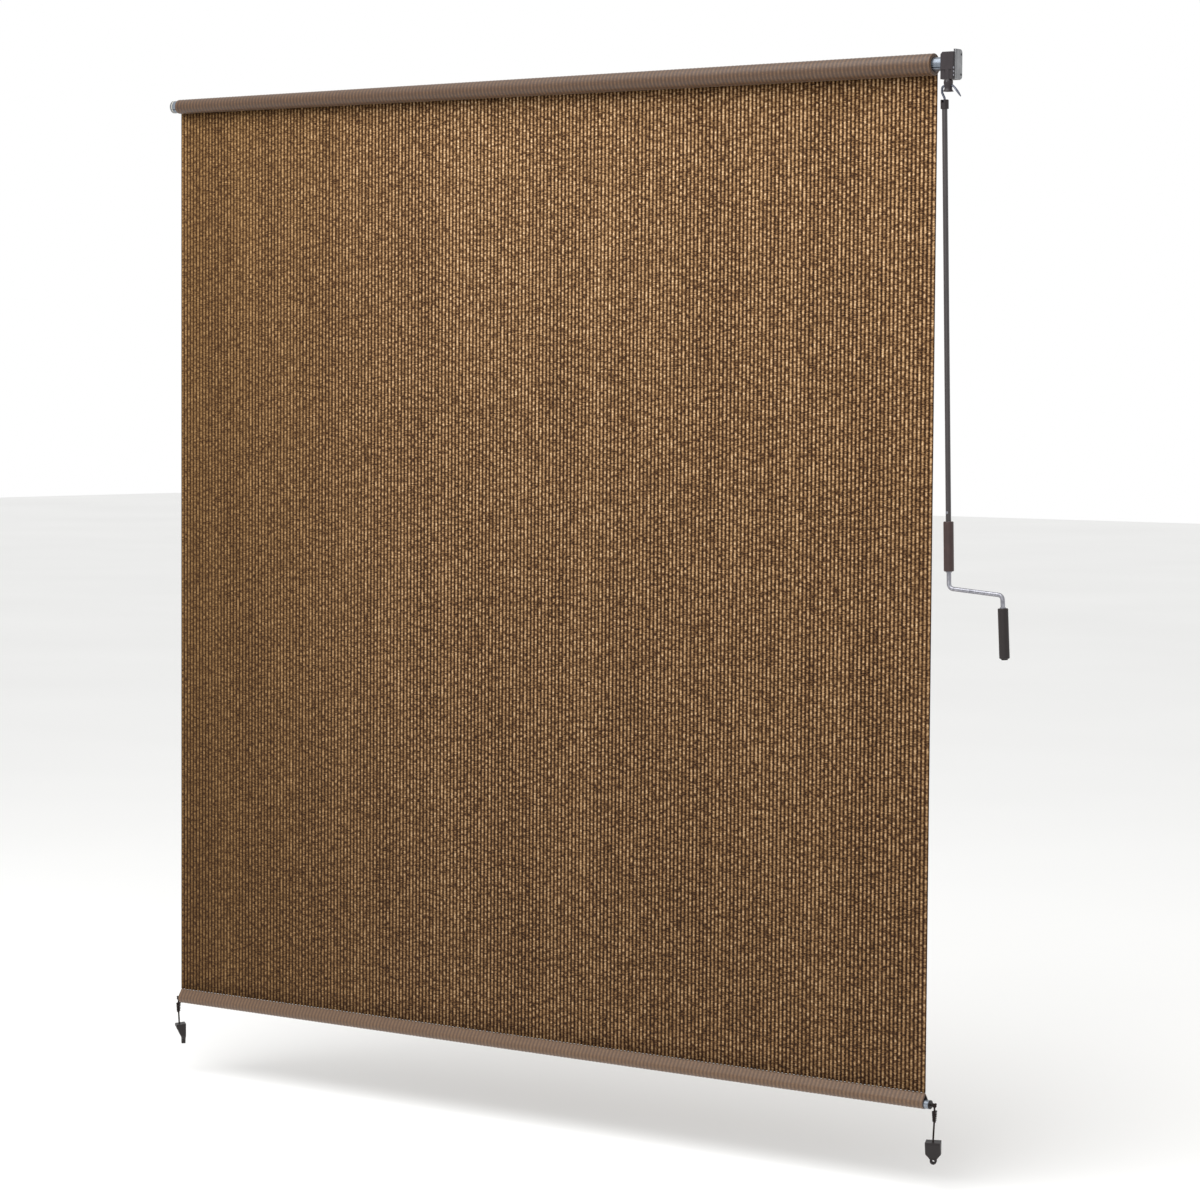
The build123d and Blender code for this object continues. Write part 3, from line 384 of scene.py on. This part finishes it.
def addWhip(side, tie):
    # a whipping below the knot: a helix whose radius falls evenly from its top to its foot
    share = np.linspace(0.0, 1.0, whipLook["points"])
    turn = 2.0 * np.pi * whipLook["wraps"] * share
    reach = whipLook["radiusTop"] + (whipLook["radiusFoot"] - whipLook["radiusTop"]) * share
    height = tie["exit"][2] + whipLook["start"] - whipLook["fall"] * share
    line = np.stack([tie["knot"] + reach * np.cos(turn), tie["y"] + reach * np.sin(turn), height],
                    axis=-1)
    outward = np.stack([np.cos(turn), np.sin(turn), np.zeros_like(turn)], axis=-1)
    return sweptTube("knot_wrap_" + side, line, outward, whipLook["strand"])


made = {}
for side, tie in ties.items():
    made["cord_" + side] = addCord(side, tie)
    made["bulb_" + side] = addKnot(side, tie)
    made["whip_" + side] = addWhip(side, tie)
print("stage: camera, cords and knots made")

made["panel"] = panelSurface()
made["roll"] = rollSurface()
made["hem"] = hemSurface()
print("stage: cloth made")

# what the three looks of the cloth share: the loops' contrast, how noises are stretched, how
# fast the idle side's calm and olive give way, and each layer's part in the relief
knit = {"rowShift": 3.7, "contrast": 3.0, "yarnStretch": (0.6, 1.6, 1.0),
        "bandStretch": (9.0, 0.7, 1.0), "detail": 3.0, "grain": 0.6, "sheenRough": 0.4,
        "calmSlope": 2.5, "oliveSlope": 3.0, "crestRelief": 0.4, "loopRelief": 0.6,
        "yarnRelief": 0.3}
panelLook = {"rough": 0.85, "shine": 0.15, "sheen": 0.0, "loop": 0.0085, "yarnScale": 230.0,
             "crest": 0.22, "bead": 0.50, "base": 0.10, "yarn": 1.25, "band": 0.16,
             "bump": 0.0008, "leftShare": 0.62, "tintHeight": 2.386, "low": (0.60, 0.58, 0.55),
             "olive": (0.86, 0.84, 0.72),
             "stops": ((0.0, "1e0f05"), (0.22, "452b16"), (0.5, "92704b"), (0.74, "c9a378"),
                       (1.0, "f2d8b2"))}
rolledLook = {"rough": 0.5, "shine": 0.7, "sheen": 0.08, "loop": 0.006, "yarnScale": 300.0,
              "crest": 0.30, "bead": 0.14, "base": 0.28, "yarn": 0.3, "band": 0.06,
              "bump": 0.0004, "leftShare": 1.0, "tintHeight": 0.0,
              "stops": ((0.0, "1d0e03"), (0.35, "402711"), (0.6, "55391f"), (1.0, "86663f"))}
hemLook = dict(rolledLook, stops=((0.0, "2c1a0c"), (0.35, "543a24"), (0.6, "684c32"),
                                  (1.0, "8b6d4c")))


def clothFinish(name, look):
    # ribs with rows of knitted loops: u runs across the ribs, v along them
    white = (1.0, 1.0, 1.0, 1.0)
    finish = Finish(name, Roughness=look["rough"], Specular_IOR_Level=look["shine"],
                    Sheen_Weight=look["sheen"], Sheen_Roughness=knit["sheenRough"])
    place = finish.add("ShaderNodeUVMap", {"uv_map": "cloth"})
    u, v, _ = finish.parts(place)
    across = u / cloth["pitch"]
    rib = across.floor()
    crest = 0.5 - 0.5 * ((across - rib) * (2.0 * math.pi)).cos()
    row = finish.point(rib * knit["rowShift"], v / look["loop"])  # each rib has its own row
    loop = ((finish.noise(row, 1.0, 1.0) - 0.5) * knit["contrast"] + 0.5).within(0.0, 1.0)
    yarn = finish.noise(finish.stretched(place, knit["yarnStretch"]), look["yarnScale"],
                        knit["detail"], knit["grain"])
    band = finish.noise(finish.stretched(place, knit["bandStretch"]), 1.0, knit["detail"],
                        knit["grain"])
    side = (u / cloth["width"]).within(0.0, 1.0)
    calm = (side * knit["calmSlope"]).within(0.0, 1.0)
    rich = look["leftShare"] + (1.0 - look["leftShare"]) * calm
    lift = crest * (look["crest"] + look["bead"] * loop)
    meanLift = look["crest"] * 0.5 + look["bead"] * 0.25  # crest and loop are 0.5 on average
    swing = rich * (lift - meanLift + look["yarn"] * (yarn - 0.5))
    tone = look["base"] + meanLift + swing + look["band"] * (band - 0.5)
    colour = finish.ramp(tone.within(0.0, 1.0),
                         *[(stop, hexColour(code)) for stop, code in look["stops"]])
    if look["tintHeight"]:  # paler towards the roll, more olive at the idle side
        # darker towards the bottom: the colour is multiplied by low at the foot, rising evenly to
        # white at the top
        height = (v / look["tintHeight"]).within(0.0, 1.0)
        heightTint = finish.mix(height, (*look["low"], 1.0), white)
        aside = (side * knit["oliveSlope"]).within(0.0, 1.0)
        olive = finish.mix(aside, (*look["olive"], 1.0), white)
        colour = finish.mix(1.0, finish.mix(1.0, colour, heightTint, "MULTIPLY"), olive, "MULTIPLY")
    finish.feed("Base Color", colour)
    finish.bump(crest * knit["crestRelief"] + loop * crest * knit["loopRelief"]
                + yarn * knit["yarnRelief"], look["bump"])
    return finish.material


# what the plain finishes share, and what each has unless it says otherwise
mottle = {"detail": 3.0, "grain": 0.6, "dark": 0.3, "light": 0.7, "streakRelief": 0.6,
          "softRelief": 0.4}
plainLook = {"metal": 0.0, "shine": 0.5, "coat": 0.0, "softScale": 60.0, "streakScale": 300.0,
             "stretch": (1.0, 1.0, 1.0), "roughSpread": 0.12}
finishes = {
    "casingPlastic": {"colours": ("1f181b", "2c2427"), "rough": 0.46, "shine": 0.45,
                      "softScale": 90.0, "streakScale": 900.0, "bump": 0.00005},
    "galvanised": {"colours": ("747577", "a5a6a8"), "rough": 0.42, "metal": 0.75,
                   "softScale": 40.0, "stretch": (1.0, 1.0, 0.05), "streakScale": 260.0,
                   "roughSpread": 0.25, "bump": 0.00004},
    "drawnAluminium": {"colours": ("646c75", "969da7"), "rough": 0.34, "metal": 0.85,
                       "softScale": 50.0, "stretch": (0.04, 1.0, 1.0), "streakScale": 320.0,
                       "roughSpread": 0.2, "bump": 0.00003},
    "brightSteel": {"colours": ("707077", "aeaeb5"), "rough": 0.28, "metal": 0.95,
                    "softScale": 80.0, "stretch": (1.0, 1.0, 0.08), "streakScale": 400.0,
                    "roughSpread": 0.15, "bump": 0.00002},
    "blueSteel": {"colours": ("3c3f4a", "777b88"), "rough": 0.35, "metal": 0.85,
                  "softScale": 120.0, "streakScale": 500.0, "bump": 0.00003},
    "bronzeBush": {"colours": ("7a5428", "a87c44"), "rough": 0.4, "metal": 0.85,
                   "softScale": 200.0, "bump": 0.00003},
    "gearNylon": {"colours": ("d9d4c6", "ece8dc"), "rough": 0.5, "softScale": 160.0,
                  "bump": 0.00003},
    "brownPaint": {"colours": ("1d1617", "322a2b"), "rough": 0.38, "shine": 0.6, "coat": 0.35,
                   "softScale": 30.0, "stretch": (1.0, 1.0, 0.03), "streakScale": 400.0,
                   "roughSpread": 0.1, "bump": 0.00002},
    "gripPlastic": {"colours": ("150e0e", "201616"), "rough": 0.5, "shine": 0.45,
                    "softScale": 120.0, "streakScale": 1200.0, "bump": 0.00005},
    "sleevePlastic": {"colours": ("2a1917", "3d2926"), "rough": 0.42,
                      "stretch": (1.0, 1.0, 0.05), "streakScale": 700.0, "bump": 0.00004},
    "moulding": {"colours": ("130d0d", "1d1515"), "rough": 0.5, "shine": 0.4,
                 "softScale": 140.0, "streakScale": 1100.0, "bump": 0.00006},
    "cordYarn": {"colours": ("16100f", "2f2623"), "rough": 0.8, "shine": 0.2,
                 "softScale": 500.0, "streakScale": 1500.0, "bump": 0.0003},
    "splineVinyl": {"colours": ("6f675c", "8a8174"), "rough": 0.55, "bump": 0.00003},
}


def plainFinish(name, own):
    # paint, plastic or metal: soft mottling and streaks in its colour, roughness and relief
    look = dict(plainLook, **own)
    finish = Finish(name, Roughness=look["rough"], Metallic=look["metal"],
                    Specular_IOR_Level=look["shine"], Coat_Weight=look["coat"])
    place = finish.own()
    soft = finish.noise(place, look["softScale"], mottle["detail"], mottle["grain"])
    streak = finish.noise(finish.stretched(place, look["stretch"]), look["streakScale"])
    tone = (soft * 0.5 + streak * 0.5).within(0.0, 1.0)
    low, high = look["colours"]
    finish.feed("Base Color", finish.ramp(tone, (mottle["dark"], hexColour(low)),
                                          (mottle["light"], hexColour(high))))
    rough = look["rough"] + (streak - 0.5) * look["roughSpread"]
    finish.feed("Roughness", rough.within(0.05, 1.0))
    finish.bump(streak * mottle["streakRelief"] + soft * mottle["softRelief"], look["bump"])
    return finish.material


materials = {name: plainFinish(name, look) for name, look in finishes.items()}
for name, look in (("panelCloth", panelLook), ("rolledCloth", rolledLook), ("hemCloth", hemLook)):
    materials[name] = clothFinish(name, look)

nodeFinishes = {
    "casingPlastic": ("gear_housing", "gear_cover", "crank_eye"),
    "galvanised": ("gear_bracket", "bracket_rivets", "idler_cup"),
    "drawnAluminium": ("roller_tube", "bottom_tube"),
    "brightSteel": ("cover_screws", "eye_pin", "crank_rod", "rod_rivet", "idler_pin",
                    "drive_spindle", "worm_shaft"),
    "blueSteel": ("wand_hook",),
    "bronzeBush": ("worm_bushes", "spindle_bushes"),
    "gearNylon": ("worm_wheel", "idler_plug", "drive_plug"),
    "brownPaint": ("wand_tube",),
    "gripPlastic": ("wand_cap", "crank_grip", "grip_button"),
    "sleevePlastic": ("wand_sleeve",),
    "moulding": ("bottom_end_cap_idle", "bottom_end_cap_gear", "anchor_idle", "anchor_gear"),
    "splineVinyl": ("fabric_spline",),
}
madeFinishes = {
    "panelCloth": ("panel",),
    "rolledCloth": ("roll",),
    "hemCloth": ("hem",),
    "cordYarn": ("cord_gear", "cord_idle", "bulb_gear", "bulb_idle", "whip_gear", "whip_idle"),
}

for finishName, nodeNames in nodeFinishes.items():
    for nodeName in nodeNames:
        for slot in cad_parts[nodeName].material_slots:
            slot.link = "OBJECT"
            slot.material = materials[finishName]
for finishName, keys in madeFinishes.items():
    for key in keys:
        made[key].data.materials.append(materials[finishName])
print("stage: finishes made")

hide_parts("fabric_panel")
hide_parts("fabric_roll")
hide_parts("hem_pocket")
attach(made["panel"], "shade")
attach(made["roll"], "roller")
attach(made["hem"], "shade")
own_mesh(made["panel"])
for side, tie in ties.items():
    bulb, whip, cord = made["bulb_" + side], made["whip_" + side], made["cord_" + side]
    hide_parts("tie_cord_" + side)
    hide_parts("tie_knot_" + side)
    for piece in (cord, bulb, whip):
        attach(piece, "shade")
print("stage: pieces ride on their bodies")

floorLook = {"height": -2.62, "reach": 40.0, "rough": 0.9, "shine": 0.1, "mottleScale": 0.4,
             "colours": ((0.90, 0.90, 0.89), (0.96, 0.96, 0.95))}
lamps = {"overhead": {"power": 240.0, "size": 5.0, "place": (-1.2, -2.6, 3.4),
                      "aim": (-1.2, -0.3, -0.6)},
         "front": {"power": 30.0, "size": 3.0, "place": (1.5, -6.0, 0.6),
                   "aim": (-1.0, 0.0, -1.2)}}
surroundings = {"ambient": 0.90, "backdrop": 1.0}


def addFloor(look):
    # one square, its corners at plus and minus reach
    points = np.array([[-1, -1], [1, -1], [1, 1], [-1, 1]], dtype=float) * look["reach"]
    points = np.concatenate([points, np.full((4, 1), look["height"])], axis=1)
    floor = addSurface("floor", points, [np.array([[0, 1, 2, 3]])], smooth=False)
    finish = Finish("paleFloor", Roughness=look["rough"], Specular_IOR_Level=look["shine"])
    low, high = look["colours"]
    mottling = finish.noise(finish.own(), look["mottleScale"])
    finish.feed("Base Color", finish.ramp(mottling, (0.0, low), (1.0, high)))
    floor.data.materials.append(finish.material)


def addLamp(name, look):
    data = bpy.data.lights.new(name, "AREA")
    data.energy = look["power"]
    data.size = look["size"]
    light = bpy.data.objects.new(name, data)
    toward = Vector(look["aim"]) - Vector(look["place"])
    turned = toward.to_track_quat("-Z", "Y").to_matrix().to_4x4()
    light.matrix_world = Matrix.Translation(look["place"]) @ turned
    scene.collection.objects.link(light)


def addWorld(look):
    # a white studio: the backdrop shows white, and lights the shade softly
    world = bpy.data.worlds.new("studio")
    world.use_nodes = True
    nodes, links = world.node_tree.nodes, world.node_tree.links
    background = nodes["Background"]
    background.inputs["Color"].default_value = (1.0, 1.0, 1.0, 1.0)
    path = nodes.new("ShaderNodeLightPath")
    strength = nodes.new("ShaderNodeMapRange")
    strength.inputs["To Min"].default_value = look["ambient"]
    strength.inputs["To Max"].default_value = look["backdrop"]
    links.new(path.outputs["Is Camera Ray"], strength.inputs["Value"])
    links.new(strength.outputs["Result"], background.inputs["Strength"])
    scene.world = world


addFloor(floorLook)
for lampName, lampLook in lamps.items():
    addLamp(lampName, lampLook)
addWorld(surroundings)
scene.view_settings.view_transform = "Standard"
print("stage: floor and light made")
